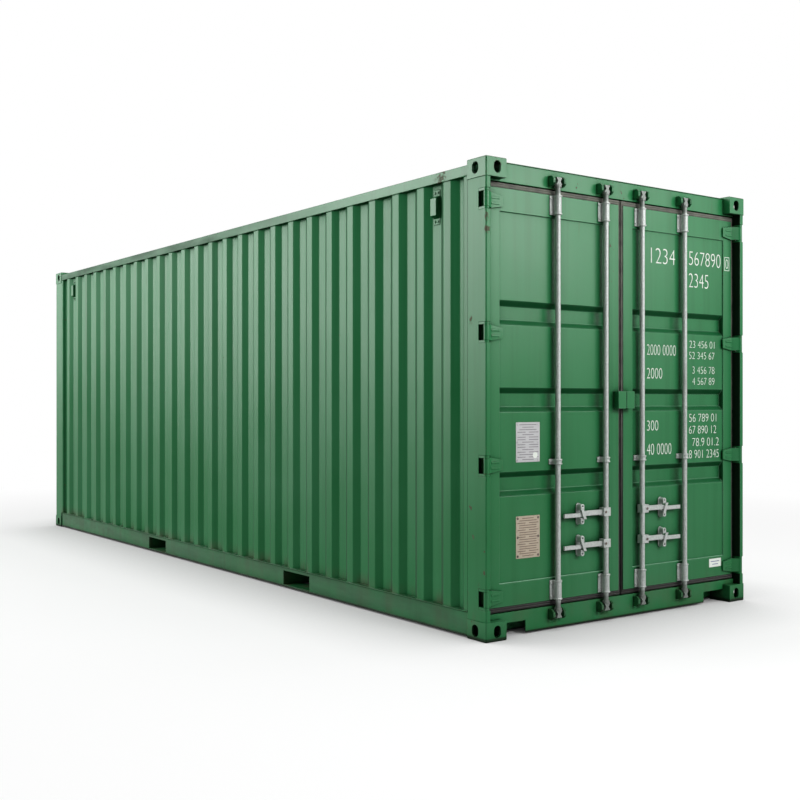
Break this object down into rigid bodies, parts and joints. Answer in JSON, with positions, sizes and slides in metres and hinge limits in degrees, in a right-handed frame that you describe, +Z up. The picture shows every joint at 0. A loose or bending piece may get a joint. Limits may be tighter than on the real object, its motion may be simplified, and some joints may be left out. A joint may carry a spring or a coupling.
{
  "type": "shipping container",
  "caption": "High-cube steel shipping container with corrugated walls, corner castings, fork pockets and swinging end doors with turning lock rods.",
  "frame": {"origin": "on the ground under the middle of the box", "axes": "+Z up, +Y along the length from the door end to the blind end, +X to the right facing the doors"},
  "size_m": [2.438, 7.62, 2.896],
  "materials": {
    "frame_paint": "worn green paint with rust at edges",
    "wall_paint": "green paint on pressed sheet, dusty low down",
    "door_paint": "green paint with light scuffs",
    "underframe_paint": "dark dull paint",
    "galvanised_steel": "hot-dip zinc, dull with spangle",
    "rubber_seal": "dull dark rubber",
    "plywood": "varnished hardwood plywood, scuffed"
  },
  "bodies": {
    "frame": {"blind_end_wall": "wall_paint", "blind_post_left": "frame_paint", "blind_post_right": "frame_paint", "blind_sill": "frame_paint", "blind_top_rail": "frame_paint", "bottom_rail_left": "frame_paint", "bottom_rail_right": "frame_paint", "cam_keepers": "frame_paint", "casting_bottom_left_blind_end": "frame_paint", "casting_bottom_left_door_end": "frame_paint", "casting_bottom_right_blind_end": "frame_paint", "casting_bottom_right_door_end": "frame_paint", "casting_top_left_blind_end": "frame_paint", "casting_top_left_door_end": "frame_paint", "casting_top_right_blind_end": "frame_paint", "casting_top_right_door_end": "frame_paint", "cross_members": "underframe_paint", "door_header": "frame_paint", "door_post_left": "frame_paint", "door_post_right": "frame_paint", "door_sill": "frame_paint", "fork_pockets": "underframe_paint", "hinge_lugs": "frame_paint", "plywood_floor": "plywood", "roof_panel": "wall_paint", "side_vents": "frame_paint", "side_wall_left": "wall_paint", "side_wall_right": "wall_paint", "top_rail_left": "frame_paint", "top_rail_right": "frame_paint"},
    "left_door": {"left_door_frame": "door_paint", "left_door_panel": "door_paint", "left_door_seal": "rubber_seal", "left_handle_retainers": "galvanised_steel", "left_hinge_blades": "door_paint", "left_lock_box": "door_paint", "left_rod_brackets": "galvanised_steel"},
    "right_door": {"right_door_frame": "door_paint", "right_door_panel": "door_paint", "right_door_seal": "rubber_seal", "right_handle_retainers": "galvanised_steel", "right_hinge_blades": "door_paint", "right_lock_box": "door_paint", "right_rod_brackets": "galvanised_steel"},
    "left_outer_rod": {"left_outer_lock_rod": "galvanised_steel"},
    "left_inner_rod": {"left_handles": "galvanised_steel", "left_inner_lock_rod": "galvanised_steel"},
    "right_inner_rod": {"right_handles": "galvanised_steel", "right_inner_lock_rod": "galvanised_steel"},
    "right_outer_rod": {"right_outer_lock_rod": "galvanised_steel"}
  },
  "joints": [
    {"name": "left_door_swing", "type": "hinge", "parent": "frame", "child": "left_door", "pos_m": [-1.197, -3.788, 0.26], "axis": [0, 0, -1], "range_deg": [0, 265]},
    {"name": "right_door_swing", "type": "hinge", "parent": "frame", "child": "right_door", "pos_m": [1.197, -3.788, 0.26], "axis": [0, 0, 1], "range_deg": [0, 265]},
    {"name": "left_outer_rod_turn", "type": "hinge", "parent": "left_door", "child": "left_outer_rod", "pos_m": [-0.603, -3.78, 0.26], "axis": [0, 0, -1], "range_deg": [-110, 0]},
    {"name": "left_inner_rod_turn", "type": "hinge", "parent": "left_door", "child": "left_inner_rod", "pos_m": [-0.173, -3.78, 0.26], "axis": [0, 0, -1], "range_deg": [-110, 0]},
    {"name": "right_outer_rod_turn", "type": "hinge", "parent": "right_door", "child": "right_outer_rod", "pos_m": [0.603, -3.78, 0.26], "axis": [0, 0, 1], "range_deg": [-110, 0]},
    {"name": "right_inner_rod_turn", "type": "hinge", "parent": "right_door", "child": "right_inner_rod", "pos_m": [0.173, -3.78, 0.26], "axis": [0, 0, 1], "range_deg": [-110, 0]}
  ]
}
